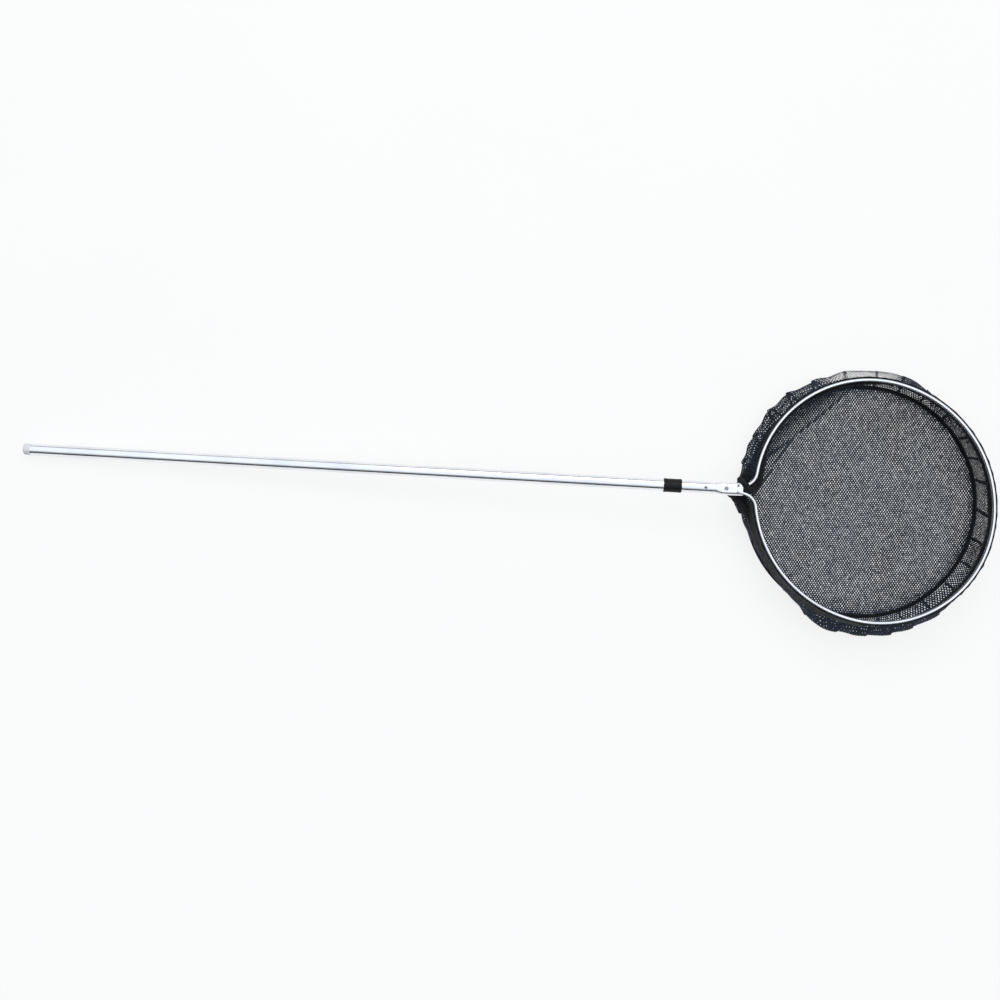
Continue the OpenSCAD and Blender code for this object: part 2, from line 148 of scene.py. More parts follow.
def addNode(owner, kind, links=None, values=None, stops=None, **settings):
    # one node with its settings; links and values are keyed by an input's name or number
    node = owner.node_tree.nodes.new(kind)
    for key, value in settings.items():
        if key in node.inputs:
            node.inputs[key].default_value = value
        else:
            setattr(node, key, value)
    for key, value in (values or {}).items():
        node.inputs[key].default_value = value
    for i, (place, colour) in enumerate(stops or []):
        band = node.color_ramp.elements
        stop = band[i] if i < 2 else band.new(place)
        stop.position, stop.color = place, linear(colour)
    for key, socket in (links or {}).items():
        owner.node_tree.links.new(socket, node.inputs[key])
    return node


def newMaterial(name, **shaderSettings):
    mat = bpy.data.materials.new(name)
    mat.use_nodes = True
    mat.node_tree.nodes.clear()
    shader = addNode(mat, "ShaderNodeBsdfPrincipled", **shaderSettings)
    addNode(mat, "ShaderNodeOutputMaterial", {"Surface": shader.outputs["BSDF"]})
    return mat, shader


def feed(mat, shader, key, socket):
    mat.node_tree.links.new(socket, shader.inputs[key])


def perMetre(size):
    # a pattern's scale from the real size of its marks in mm
    return 1 / (size * mm)


def objectPlace(mat):
    return addNode(mat, "ShaderNodeTexCoord").outputs["Object"]


def alongPole(stretch):
    # turned so that x runs down the pole, then stretched along it
    def coords(mat):
        return addNode(mat, "ShaderNodeMapping", {"Vector": objectPlace(mat)},
                       Rotation=(0, tilt, 0), Scale=(1 / stretch, 1, 1)).outputs["Vector"]
    return coords


def roundHoop(stretch):
    # x runs round the hoop, stretched, y is the radius and z the height
    def coords(mat):
        mid = toFloor(hoopMid[0], hoopMid[1], 0.0) * mm
        arm = addNode(mat, "ShaderNodeVectorMath", {0: objectPlace(mat)}, {1: (mid[0], mid[1], 0)},
                      operation="SUBTRACT").outputs["Vector"]
        flat = addNode(mat, "ShaderNodeVectorMath", {0: arm}, {1: (1, 1, 0)}, operation="MULTIPLY")
        radius = addNode(mat, "ShaderNodeVectorMath", {0: flat.outputs["Vector"]}, operation="LENGTH")
        axes = addNode(mat, "ShaderNodeSeparateXYZ", {0: arm})
        turn = addNode(mat, "ShaderNodeMath", {0: axes.outputs["Y"], 1: axes.outputs["X"]},
                       operation="ARCTAN2")
        run = addNode(mat, "ShaderNodeMath", {0: turn.outputs["Value"]},
                      {1: tool["ovalMean"] * mm / stretch}, operation="MULTIPLY")
        return addNode(mat, "ShaderNodeCombineXYZ", {"X": run.outputs["Value"], "Y": radius.outputs["Value"],
                                                     "Z": axes.outputs["Z"]}).outputs["Vector"]
    return coords


def roughAndRelief(mat, shader, wear, rough, height, strength, depth, wearEnds=(0.3, 0.7)):
    # one pattern moves the roughness between two values, and one stands up by its depth in mm
    gloss = addNode(mat, "ShaderNodeMapRange", {"Value": wear},
                    **{"From Min": wearEnds[0], "From Max": wearEnds[1],
                       "To Min": rough[0], "To Max": rough[1]})
    feed(mat, shader, "Roughness", gloss.outputs["Result"])
    bump = addNode(mat, "ShaderNodeBump", {"Height": height}, Strength=strength, Distance=depth * mm)
    feed(mat, shader, "Normal", bump.outputs["Normal"])


def metalFinish(name, shades, rough, linePitch, lineDepth, coords, wear=0.07, facingShade=None):
    # draw or press lines in the roughness and bump, scuffs, and a cloudy oxide film in the colour; the shades
    # given for faces from upright, 0, to level, 1, are painted shade by facing, multiplied into the colour
    # where given
    mat, shader = newMaterial(name, Metallic=1.0)
    at, place = coords(mat), objectPlace(mat)
    film = addNode(mat, "ShaderNodeTexNoise", {"Vector": place}, Scale=perMetre(71.43), Detail=3.0)
    tint = addNode(mat, "ShaderNodeValToRGB", {"Fac": film.outputs["Fac"]},
                   stops=[(0.35, shades[0]), (0.68, shades[1])])
    colour = tint.outputs["Color"]
    # painted shade: the colour is darkened by which way each face turns
    if facingShade:
        upright = addNode(mat, "ShaderNodeTexCoord").outputs["Normal"]
        slope = addNode(mat, "ShaderNodeSeparateXYZ", {0: upright})
        paintedShade = addNode(mat, "ShaderNodeValToRGB", {"Fac": slope.outputs["Z"]}, stops=facingShade)
        colour = addNode(mat, "ShaderNodeMix", {6: colour, 7: paintedShade.outputs["Color"]}, {0: 1.0},
                         data_type="RGBA", blend_type="MULTIPLY").outputs[2]
    feed(mat, shader, "Base Color", colour)
    lines = addNode(mat, "ShaderNodeTexNoise", {"Vector": at}, Scale=perMetre(linePitch), Detail=2.0)
    scuffs = addNode(mat, "ShaderNodeTexNoise", {"Vector": place}, Scale=perMetre(6.25), Detail=4.0,
                     Roughness=0.7)
    mixed = addNode(mat, "ShaderNodeMath", {0: lines.outputs["Fac"], 1: scuffs.outputs["Fac"]},
                    operation="MULTIPLY")
    roughAndRelief(mat, shader, mixed.outputs["Value"], (rough - wear, rough + wear),
                   lines.outputs["Fac"], strength=0.35, depth=lineDepth, wearEnds=(0.12, 0.4))
    return mat


def mouldedFinish(name, shades, rough, grit, depth, **shaderSettings):
    # spark-eroded mould texture: fine pits, with soft patches of handling polish
    mat, shader = newMaterial(name, **shaderSettings)
    place = objectPlace(mat)
    patches = addNode(mat, "ShaderNodeTexNoise", {"Vector": place}, Scale=perMetre(16.67), Detail=3.0)
    tint = addNode(mat, "ShaderNodeValToRGB", {"Fac": patches.outputs["Fac"]},
                   stops=[(0.3, shades[0]), (0.72, shades[1])])
    feed(mat, shader, "Base Color", tint.outputs["Color"])
    pits = addNode(mat, "ShaderNodeTexVoronoi", {"Vector": place}, Scale=perMetre(grit))
    roughAndRelief(mat, shader, patches.outputs["Fac"], (rough + 0.08, rough - 0.06),
                   pits.outputs["Distance"], strength=0.4, depth=depth)
    return mat


# Anodised drawn tube: a satin oxide film over fine lines down its length, so light spreads across it
drawnAluminium = metalFinish("anodisedDrawnAluminium", ("#e6e9ee", "#f3f5f8"), 0.15, 0.9, 0.008,
                             alongPole(60), wear=0.04)
# Pressed tube left bright: smoother and whiter, with shallow tool marks
pressedAluminium = metalFinish("brightPressedAluminium", ("#e9ecf0", "#f7f8fa"), 0.2, 2.2, 0.03,
                               alongPole(3), wear=0.05)
# Extruded rail, etched and clear anodised: even and pale, with die lines running round it; painted shade by
# facing keeps its level top white, greys its upright faces and darkens the bevels between them
extrudedAluminium = metalFinish("etchedExtrudedAluminium", ("#eef1f5", "#fcfdfe"), 0.3, 0.7, 0.012,
                                roundHoop(50), facingShade=[(0.0, "#d2d6db"), (0.9, "#ffffff"),
                                                       (0.3, "#aeb3ba"), (0.72, "#8b9097")])
# Zinc plate: a cooler grey with a slight cloudiness
zincPlate = metalFinish("brightZincPlatedSteel", ("#7d838b", "#a2a8af"), 0.3, 0.5, 0.01, objectPlace)
# Glass-filled nylon, moulded: black with a soft broken sheen
blackNylon = mouldedFinish("mouldedBlackNylon", ("#060607", "#0d0d0f"), 0.48, 0.45, 0.04,
                           **{"Specular IOR Level": 0.25})
# Low-density polythene, moulded: pale grey and waxy
paleCap = mouldedFinish("mouldedPaleGreyPolythene", ("#dde0e3", "#eef0f1"), 0.42, 0.6, 0.03)
# Natural nylon: off-white, with a soft gloss
naturalNylon = mouldedFinish("mouldedNaturalNylon", ("#e3dfd2", "#eeebe1"), 0.38, 0.5, 0.02)


def wovenTape():
    # Woven polyester tape: dead black with a soft bloom. Its ribs lie 0.9 mm apart, because a real
    # 0.35 mm weave is too fine to show
    mat, shader = newMaterial("wovenBlackPolyesterTape",
                              **{"Specular IOR Level": 0.25, "Sheen Weight": 0.12, "Sheen Roughness": 0.5})
    at, place = roundHoop(1)(mat), objectPlace(mat)
    rib = 0.9 * mm
    waveScale = 2 * math.pi / rib / 20      # a wave texture has 20 radians to a unit of scale
    cloth = []
    for band, pull in (("X", 0.4), ("DIAGONAL", 0.8)):
        cloth.append(addNode(mat, "ShaderNodeTexWave", {"Vector": at}, Scale=waveScale,
                             Distortion=pull, bands_direction=band).outputs["Fac"])
    weave = addNode(mat, "ShaderNodeMath", {0: cloth[0], 1: cloth[1]}, operation="MAXIMUM")
    wear = addNode(mat, "ShaderNodeTexNoise", {"Vector": place}, Scale=perMetre(28.57), Detail=4.0)
    shade = addNode(mat, "ShaderNodeMath", {0: weave.outputs["Value"], 1: wear.outputs["Fac"]},
                    operation="MULTIPLY")
    tint = addNode(mat, "ShaderNodeValToRGB", {"Fac": shade.outputs["Value"]},
                   stops=[(0.1, "#050506"), (0.7, "#141518")])
    feed(mat, shader, "Base Color", tint.outputs["Color"])
    roughAndRelief(mat, shader, wear.outputs["Fac"], (0.92, 0.74), weave.outputs["Value"],
                   strength=0.5, depth=0.15)
    return mat


def spunThread(name, shades, rough, sheen):
    # Dyed synthetic yarn: matt, with sun-faded stretches and the bumps of its twisted fibres, drawn
    # 1.1 mm long because real ones are too fine to show
    mat, shader = newMaterial(name, **{"Specular IOR Level": 0.2, "Sheen Weight": sheen})
    place = objectPlace(mat)
    fade = addNode(mat, "ShaderNodeTexNoise", {"Vector": place}, Scale=perMetre(111.1), Detail=3.0)
    fibre = addNode(mat, "ShaderNodeTexNoise", {"Vector": place}, Scale=perMetre(1.111), Detail=2.0)
    shade = addNode(mat, "ShaderNodeMath", {0: fade.outputs["Fac"], 1: fibre.outputs["Fac"]},
                    operation="ADD")
    tint = addNode(mat, "ShaderNodeValToRGB", {"Fac": shade.outputs["Value"]},
                   stops=[(0.75, shades[0]), (1.0, shades[1])])
    feed(mat, shader, "Base Color", tint.outputs["Color"])
    roughAndRelief(mat, shader, fibre.outputs["Fac"], (rough + 0.06, rough - 0.06), fibre.outputs["Fac"],
                   strength=0.3, depth=0.1)
    return mat


tapeCloth = wovenTape()
# Knitted nylon netting: slate black, its yarn a little fuzzy
netThread = spunThread("knittedBlackNylon", ("#131a22", "#2a3441"), 0.78, 0.04)
# Bonded sewing thread: charcoal, with more gloss than the tape it lies on
seamThread = spunThread("bondedCharcoalThread", ("#202227", "#363a41"), 0.5, 0.05)
print("finishes ready")

rigidFinish = {
    "outer_tube": drawnAluminium, "inner_tube": drawnAluminium, "neck_tube": pressedAluminium,
    "hoop": extrudedAluminium, "end_plug": paleCap, "pole_collar": blackNylon,
    "mouth_insert": blackNylon, "collar_bush": naturalNylon, "guide_bush": naturalNylon,
    "cam_ring": naturalNylon, "lock_plug": paleCap, "lock_pin": zincPlate, "cam_washer": zincPlate,
    "cam_screw": zincPlate, "neck_rivet": zincPlate, "clamp_bolt": zincPlate,
    "clamp_nut": zincPlate, "hoop_rivets": zincPlate,
}
for nodeName, mat in rigidFinish.items():
    for place in nodes[nodeName].material_slots:
        place.material = mat
print("rigid parts finished")


def makePiece(name, points, faces, mat, body="head", slot=None, replaces=()):
    mesh = bpy.data.meshes.new(name)
    mesh.from_pydata((np.asarray(points) * mm).tolist(), [], [list(f) for f in faces])
    mesh.polygons.foreach_set("use_smooth", [True] * len(mesh.polygons))
    mesh.materials.append(mat)
    mesh.update()
    piece = bpy.data.objects.new(name, mesh)
    bpy.context.scene.collection.objects.link(piece)
    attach(piece, body)
    if replaces:
        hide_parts(*replaces)
    return piece


def sweptBand(outlines, closed):
    # outlines is stations x points x 3; an open band gets its two ends
    n, m = outlines.shape[:2]
    i, j = np.meshgrid(np.arange(n if closed else n - 1), np.arange(m), indexing="ij")
    i2, j2 = (i + 1) % n, (j + 1) % m
    faces = np.stack([i * m + j, i2 * m + j, i2 * m + j2, i * m + j2], axis=-1).reshape(-1, 4).tolist()
    if not closed:
        faces += [list(range(m))[::-1], [(n - 1) * m + j for j in range(m)]]
    return outlines.reshape(-1, 3), faces


# The hem is a folded tape that hangs from the rail; it leans in along one flank and out along the other
hem = {
    "strip": 25,           # width of the hanging strip
    "thick": 0.7,
    "grip": 1.6,           # room for the net between its layers
    "ripple": 0.7,         # depth and number of the puckers along the lower edge
    "ripples": 113,
    "puff": 0.5,           # puckers that stand out of the outer layer, and how far they fade downwards
    "puffFade": 0.6,
    # how far the lower edge leans out, by direction (in, where it is negative); this lays the black tape
    # along the band where the rail's shade falls, so it is partly a dark sheet standing for shade
    "lean": [(0, -6), (30, -5), (60, -4), (78, -6), (92, -11), (110, -15.5), (150, -15.5), (160, -18),
             (170, -22), (178, -20), (183, -9), (187, 3), (191, 11), (203, 8.5), (215, 5.5), (228, 6.5),
             (248, 9), (265, 5), (285, 0), (300, -3), (330, -6)],
    "leanCurve": 1.3,      # 1 for a straight lean, more for one that comes in low down
    "leastDrop": 5,        # drop that is left, however far it leans
}
hemTop = -tool["railHeight"] / 2 - 0.5


def hemPuff(a):
    return hem["puff"] * np.maximum(wobble(a, seed=61, waves=50, size=0.3, first=30) + 0.3, 0)


def hemEdge(a, down, off=0.0):
    # point on the hanging strip: down from 0 at the rail to 1 at its lower edge, off across it
    lean = byAngle(hem["lean"], a) + wobble(a, seed=29, waves=16, size=0.5)
    drop = np.sqrt(np.maximum(hem["strip"] ** 2 - lean ** 2, hem["leastDrop"] ** 2))
    ripple = hem["ripple"] * np.sin(np.radians(a * hem["ripples"])) * down ** 2
    across = off + ripple + hemPuff(a) * max(off, 0) * (1 - hem["puffFade"] * down)
    p = ovalPoint(a, tool["wallOut"] + lean * down ** hem["leanCurve"] + across * drop / hem["strip"])
    return toFloor(p[..., 0], p[..., 1], hemTop - drop * down + across * lean * down / hem["strip"])


net = {
    "cellAlong": 5.7,      # knitted diamond: its short diagonal
    "cellAcross": 8.5,     # and its long one
    "thread": 2.75,        # width of a strand, heavier than the yarn so that it shows
    "uneven": 0.1,
    "ridge": 0.55,         # height of a strand's middle
    "holes": (0.15, 0.92),  # smallest and largest hole, as a share of its cell
}


def knitNet(columns, rows, closed, surface, thicken, keep=None, seed=3):
    # Diamond netting over a surface(u, v) -> points and unit normals, u in cells, v in half rows.
    # Each strand is a low ridge between neighbouring holes, thicken(u, v) times the usual width.
    i, j = np.meshgrid(np.arange(columns), np.arange(1, rows), indexing="ij")
    i, j = i.ravel(), j.ravel()
    centres = np.stack([i + 0.5 + (j % 2) * 0.5, j], axis=-1)
    if keep is not None:
        centres = centres[keep(centres[:, 0], centres[:, 1])]
    edge = math.hypot(net["cellAlong"], net["cellAcross"]) / 2
    gap = net["cellAlong"] * net["cellAcross"] / 2 / edge
    uneven = np.random.default_rng(seed).normal(1, net["uneven"], len(centres))
    strand = net["thread"] * thicken(centres[:, 0], centres[:, 1]) * uneven
    shrink = np.clip(1 - strand / gap, *net["holes"])
    corner = np.array([[-0.5, 0], [0, -1], [0.5, 0], [0, 1]])
    outer = centres[:, None, :] + corner[None]
    inner = centres[:, None, :] + corner[None] * shrink[:, None, None]
    keys = np.round(outer.reshape(-1, 2) * 2).astype(int)
    if closed:
        keys[:, 0] %= 2 * columns
    unique, back = np.unique(keys, axis=0, return_inverse=True)
    back = back.reshape(-1, 4)
    top, topNormal = surface(unique[:, 0] / 2, unique[:, 1] / 2)
    low = surface(inner[..., 0].ravel(), inner[..., 1].ravel())[0]
    points = np.concatenate([top + topNormal * net["ridge"], low])
    innerAt = len(unique) + np.arange(len(centres) * 4).reshape(-1, 4)
    quads = [np.stack([back[:, k], back[:, (k + 1) % 4], innerAt[:, (k + 1) % 4], innerAt[:, k]], -1)
             for k in range(4)]
    return points, np.concatenate(quads).tolist()


# The wall hangs from the hem, bellies out over the floor and comes back in to the seam
wall = {
    "pleats": 28,
    "tuck": 7.0,           # width of a pleat's doubled cloth
    "step": 4.2,           # how far a pleat's edge stands proud of the next
    "startAt": 0.9,        # share of the hem's depth at which the net comes out of it
    "leastHeight": 1.4,    # above the floor
    "crumple": 1.0,
    # shorter creases, by direction
    "lumps": [(0, 0), (92, 0), (110, 1), (175, 1), (200, 0.6), (265, 0.6), (300, 0)],
    # the cloth is stretched thin round a direction, down to a share of the way to the seam
    "thin": 0.88, "thinAt": 92, "thinOver": 20, "thinTo": 0.84, "thinFade": 0.12,
    "knit": 0.83,          # width of the strands in level cloth, and what a slope adds
    "knitSteep": 0.1,
    # how far slack draws the knit together, by direction
    "slack": [(0, 1.06), (35, 1.13), (58, 1.2), (80, 1.22), (98, 1), (120, 0.95), (165, 0.95), (200, 1.1),
              (240, 1.25), (300, 1.3), (330, 1.15)],
    # reach of the belly beyond the rail, by direction
    "belly": [(0, 2), (20, 4), (40, 8), (55, 16), (66, 28), (75, 27), (87, 24), (103, 22),
              (119, 18), (135, 21), (150, 20), (165, 20), (176, 22), (184, 28), (191, 19), (199, 11),
              (207, 7), (215, 2), (223, 3), (231, 9), (239, 14), (246, 27), (252, 33), (259, 30),
              (270, 29), (282, 31), (295, 29), (305, 28), (316, 24), (328, 16), (340, 8)],
}
seamR, seamHeight = tool["bagRadius"] + 1.6, 2.2


def pleatPlace(u, columns):
    # column number round the cloth -> direction, pleat and layer, with the cloth tripled at each
    # pleat; layer climbs to 1 along the outside, falls to 0.25 in the tuck and ends at 0
    n = wall["pleats"]
    each = columns / n
    k = np.floor(u / each)
    f = u / each - k
    fold = 2 * wall["tuck"] / (2 * math.pi * seamR / n + 2 * wall["tuck"])
    flatPart = 1 - fold
    f1, f2 = flatPart + fold / 4, flatPart + 3 * fold / 4
    span = 1 / flatPart
    p = np.where(f < f1, f * span, np.where(f < f2, (2 * f1 - f) * span, (f - fold) * span))
    layer = np.where(f < f1, f / f1, np.where(f < f2, 1 - 0.75 * (f - f1) / (f2 - f1),
                                              0.25 * (1 - (f - f2) / (1 - f2))))
    a = (k + p) * 360 / n - 1.5      # the first pleat starts here, and none is quite evenly placed
    unevenPlace = a + 1.6 * np.sin(np.radians(3 * a + 60)) + 1.1 * np.sin(np.radians(7 * a))
    return unevenPlace, k, layer


def stretchedAt(a):
    return wall["thin"] * np.exp(-((a % 360 - wall["thinAt"]) / wall["thinOver"]) ** 4)


def wallSurface(columns, rows):
    amounts = np.random.default_rng(5).uniform(0.5, 1.3, wall["pleats"])

    def place(u, v):
        a, k, layer = pleatPlace(u, columns)
        t = np.clip(v / rows, 0, 1)
        amount = amounts[k.astype(int) % wall["pleats"]]
        top = hemEdge(a, np.full_like(a, wall["startAt"]))
        out = way(a)
        edge = ovalPoint(a, tool["railWidth"] / 2)
        rail = toFloor(edge[..., 0], edge[..., 1], 0)
        reachAt = ((rail[..., :2] - bagMid) * out).sum(-1) + byAngle(wall["belly"], a)
        topR = ((top[..., :2] - bagMid) * out).sum(-1)
        side = top[..., :2] - bagMid - topR[..., None] * out
        # s eases from 0 at the hem to 1 at the seam, and lift is 0 at both and 1 half way
        s = t * t * (3 - 2 * t)
        r = topR * (1 - s) + seamR * s
        lift = np.sin(math.pi * t) ** 0.8
        r = r + (reachAt - (topR + seamR) / 2) * np.sin(math.pi * t ** 0.9) ** 1.15
        r = r + (layer - 0.5) * wall["step"] * amount * lift * (1 - stretchedAt(a))
        folds = wobble(a, seed=11, waves=9, size=1.0) + wobble(a + 40 * t, seed=17, waves=26, size=0.6)
        lumps = byAngle(wall["lumps"], a) * wobble(a + 9 * t, seed=31, waves=26, size=0.7, first=22)
        r = r + wall["crumple"] * (folds + lumps) * lift
        above = (1 - t) ** 1.08
        z = top[..., 2] * above + seamHeight * (1 - above)
        z = z + wobble(a + 25 * t, seed=23, waves=20, size=0.8) * lift
        xy = bagMid + r[..., None] * out + side * (1 - s)[..., None]
        return np.concatenate([xy, np.maximum(z, wall["leastHeight"])[..., None]], -1)

    def at(u, v):
        step = 0.15     # cells to each side, for the slope
        du = place(u + step, v) - place(u - step, v)
        dv = place(u, np.minimum(v + step, rows)) - place(u, np.maximum(v - step, 0))
        normal = np.cross(du, dv)
        return place(u, v), normal / np.maximum(np.linalg.norm(normal, axis=-1, keepdims=True), 1e-9)
    return at


clothRound = 2 * math.pi * seamR + wall["pleats"] * 2 * wall["tuck"]
netColumns = int(round(clothRound / net["cellAlong"]))
# the wall's height over its belly, measured on a coarse trial of it
tryU, tryV = np.meshgrid(np.arange(0, netColumns, 2.0), np.linspace(0, 20, 21), indexing="ij")
tryPoints = wallSurface(netColumns, 20)(tryU, tryV)[0]
clothHigh = np.linalg.norm(np.diff(tryPoints, axis=1), axis=-1).sum(1).mean()
netRows = int(round(clothHigh / (net["cellAcross"] / 2)))
wallAt = wallSurface(netColumns, netRows)


def wallThicken(u, v):
    # round threads close up the holes where the cloth is steep, and thin out where it is stretched;
    # steep is 0 in level cloth and 1.6 at most
    steep = np.minimum(1 / np.maximum(np.abs(wallAt(u, v)[1][:, 2]), 0.2) - 1, 1.6)
    a = pleatPlace(u, netColumns)[0]
    thin = stretchedAt(a) * np.clip((wall["thinTo"] - v / netRows) / wall["thinFade"], 0, 1)
    return (wall["knit"] + wall["knitSteep"] * steep ** 2) * byAngle(wall["slack"], a) * (1 - thin)


points, faces = knitNet(netColumns, netRows, True, wallAt, wallThicken)
sideNet = makePiece("sideNet", points, faces, netThread, slot="netting", replaces=["side_wall"])
print("side net:", len(faces), "faces, cut height", round(clothHigh, 1), "mm")

bottom = {
    "height": 1.6,
    "waves": 0.7,          # slack of the flat cloth, which ends this far from the seam
    "wavesEnd": 25,
    "drawn": 0.7,          # how much the knit is drawn together at the seam, and how far in
    "drawnIn": 8,
    # a fold of slack cloth along one flank: its edge's radius by direction
    "fold": [(0, 262), (92, 262), (98, 244), (104, 226), (114, 208), (125, 199), (137, 197), (155, 198.5),
             (166, 205), (177, 226), (182, 262), (270, 262)],
    "crease": ((-228, 70), (-156, 125)),      # a second crease across it
    "foldLift": 3.0,       # height and width of its rounded edge
    "foldEdge": 7,
    "foldRise": 9.0,       # how far it rises on its way to the wall
    "foldRun": 45,
    "foldKnit": 0.42,      # width of its strands, and what is added within a few mm of edge and crease
    "foldDrawn": 1.35,
    "foldDrawnIn": 4.2,
}
panelR = tool["bagRadius"] + 0.5


def bottomSurface(folded):
    def at(u, v):
        x = u * net["cellAlong"] - panelR
        y = v * net["cellAcross"] / 2 - panelR
        r = np.hypot(x, y)
        k = np.minimum(1, panelR / np.maximum(r, 1e-9))
        x, y, r = x * k, y * k, r * k
        wave = np.sin(x / 31 + 0.6 * np.sin(y / 47)) * np.cos(y / 38 + x / 90)
        z = bottom["height"] + bottom["waves"] * wave * np.clip((panelR - r) / bottom["wavesEnd"], 0, 1)
        if folded:
            past = r - byAngle(bottom["fold"], np.degrees(np.arctan2(y, x)))
            near = np.clip(past / bottom["foldEdge"], 0, 1)
            z = z + bottom["foldLift"] * np.sqrt(1 - (1 - near) ** 2)
            z = z + bottom["foldRise"] * np.clip(past / bottom["foldRun"], 0, 1) ** 1.5
        p = np.stack([x + bagMid[0], y + bagMid[1], z], -1)
        return p, np.broadcast_to([0.0, 0.0, 1.0], p.shape)
    return at


def panelPlace(u, v):
    x, y = u * net["cellAlong"] - panelR, v * net["cellAcross"] / 2 - panelR
    return np.hypot(x, y), np.degrees(np.arctan2(y, x))


def inPanel(u, v):
    # the cells that reach the seam are kept
    return panelPlace(u, v)[0] < panelR + 1.5


def inFold(u, v):
    r, a = panelPlace(u, v)
    return inPanel(u, v) & (r > byAngle(bottom["fold"], a))


def panelThicken(u, v):
    inside = np.maximum(panelR - panelPlace(u, v)[0], 0)
    return 1 + bottom["drawn"] * np.exp(-inside / bottom["drawnIn"])


def foldThicken(u, v):
    # the knit closes up beside the fold's edge, and a little less along the crease
    r, a = panelPlace(u, v)
    start, end = np.array(bottom["crease"], float)
    x, y = r * np.cos(np.radians(a)) - start[0], r * np.sin(np.radians(a)) - start[1]
    run = (end - start) / np.linalg.norm(end - start)
    on = np.clip(x * run[0] + y * run[1], 0, np.linalg.norm(end - start))
    off = np.hypot(x - on * run[0], y - on * run[1])
    near = np.minimum(r - byAngle(bottom["fold"], a), off + 1)
    return bottom["foldKnit"] + bottom["foldDrawn"] * np.exp(-(near / bottom["foldDrawnIn"]) ** 2)


across = int(math.ceil(2 * panelR / net["cellAlong"]))
down = int(math.ceil(4 * panelR / net["cellAcross"]))
points, faces = knitNet(across, down, False, bottomSurface(False), panelThicken, inPanel)
foldPoints, foldFaces = knitNet(across, down, False, bottomSurface(True), foldThicken, inFold, seed=4)
faces = faces + (np.array(foldFaces) + len(points)).tolist()
points = np.concatenate([points, foldPoints])
bottomNet = makePiece("bottomNet", points, faces, netThread, slot="netting", replaces=["bottom_panel"])
print("bottom net:", len(faces), "faces")

# Hem: the hanging strip, and the sleeve that goes through the rail's slot round the cord
half = hem["grip"] / 2 + hem["thick"]
stations = np.linspace(0, 360, 900, endpoint=False)
steps = [0, 0.2, 0.4, 0.6, 0.8, 0.97]      # shares of the strip's width
outline = [hemEdge(stations, np.full_like(stations, d), -half) for d in steps]
outline.append(hemEdge(stations, np.full_like(stations, 1.0), 0.0))
outline += [hemEdge(stations, np.full_like(stations, d), half) for d in steps[::-1]]
# and over its top
for u, z in ((half, 1.0), (half * 0.5, 1.7), (-half * 0.6, 1.6), (-half, 0.9)):
    p = ovalPoint(stations, tool["wallOut"] + u + hemPuff(stations) * max(u, 0))
    outline.append(toFloor(p[..., 0], p[..., 1], z))
points, faces = sweptBand(np.stack(outline, axis=1), True)
hemTape = makePiece("hemTape", points, faces, tapeCloth, slot="hem_tape", replaces=["hem_band"])

# the sleeve is a tube that is open towards the tape, and its two edges run on into it
(plusMid, plusA), (minusMid, minusA) = legBendOf(1), legBendOf(-1)
run = np.linspace(minusA - 360, plusA, 700)
outline = []
for turn in range(30, 331, 20):
    p = ovalPoint(run, tool["sleeve"] * math.cos(math.radians(turn)))
    outline.append(toFloor(p[..., 0], p[..., 1], tool["sleeve"] * math.sin(math.radians(turn))))
for z in (-1.0, 1.0):
    p = ovalPoint(run, tool["wallOut"] - half * 0.7)
    outline.append(toFloor(p[..., 0], p[..., 1], z))
points, faces = sweptBand(np.stack(outline, axis=1), False)
hemSleeve = makePiece("hemSleeve", points, faces, tapeCloth, slot="hem_tape", replaces=["hem_band"])

# Cord: three strands laid together, round the hoop and on round each leg's bend
cord = {"strands": 3, "lay": 9.0, "sides": 12}     # lay: length of one turn
plusRun, minusRun = np.arange(90, plusA, 3.0), np.arange(minusA + 3, 270.5, 3.0)
ovalRun = np.linspace(plusA, minusA - 360, 900)
centres = np.concatenate([plusMid - tool["legBend"] * way(plusRun), ovalPoint(ovalRun),
                          minusMid - tool["legBend"] * way(minusRun)])
facing = way(np.concatenate([plusRun, ovalRun, minusRun]))
along = np.concatenate([[0], np.cumsum(np.linalg.norm(np.diff(centres, axis=0), axis=1))])
outline = []
for j in range(cord["sides"]):
    turn = 2 * math.pi * j / cord["sides"]
    r = tool["cord"] * (0.9 + 0.1 * np.cos(cord["strands"] * (turn + 2 * math.pi * along / cord["lay"])))
    p = centres + (r * math.cos(turn))[:, None] * facing
    outline.append(toFloor(p[:, 0], p[:, 1], r * math.sin(turn)))
points, faces = sweptBand(np.stack(outline, axis=1), False)
rimCord = makePiece("rimCord", points, faces, tapeCloth, slot="black_cord", replaces=["rim_cord"])

# Tape folded over the seam, flat on the floor, with slight puckers
seam = {"inner": tool["bagRadius"] - 4, "outer": tool["bagRadius"] + 4.4, "high": 3.4}
pucker = 0.22 * np.sin(np.radians(stations * 211)) + wobble(stations, seed=43, waves=30, size=0.12)
seamShift = wobble(stations, seed=41, waves=14, size=0.35)
outline = []
# its section, from the inner edge over the top and back below
for r, z in ((seam["inner"], 0.3), (seam["inner"], seam["high"] - 0.9), (seam["inner"] + 1.2, seam["high"]),
             (tool["bagRadius"], seam["high"] + 0.25), (seam["outer"] - 1.2, seam["high"]),
             (seam["outer"], seam["high"] - 0.9), (seam["outer"], 0.3), (seam["outer"] - 0.8, 0.0),
             (seam["inner"] + 0.8, 0.0)):
    high = z + (pucker if z > 1 else 0 * pucker)
    xy = bagMid + (r + seamShift)[:, None] * way(stations)
    outline.append(np.concatenate([xy, high[:, None]], -1))
points, faces = sweptBand(np.stack(outline, axis=1), True)
seamTape = makePiece("seamTape", points, faces, tapeCloth, slot="hem_tape", replaces=["seam_binding"])
print("hem, cord and seam tape made")

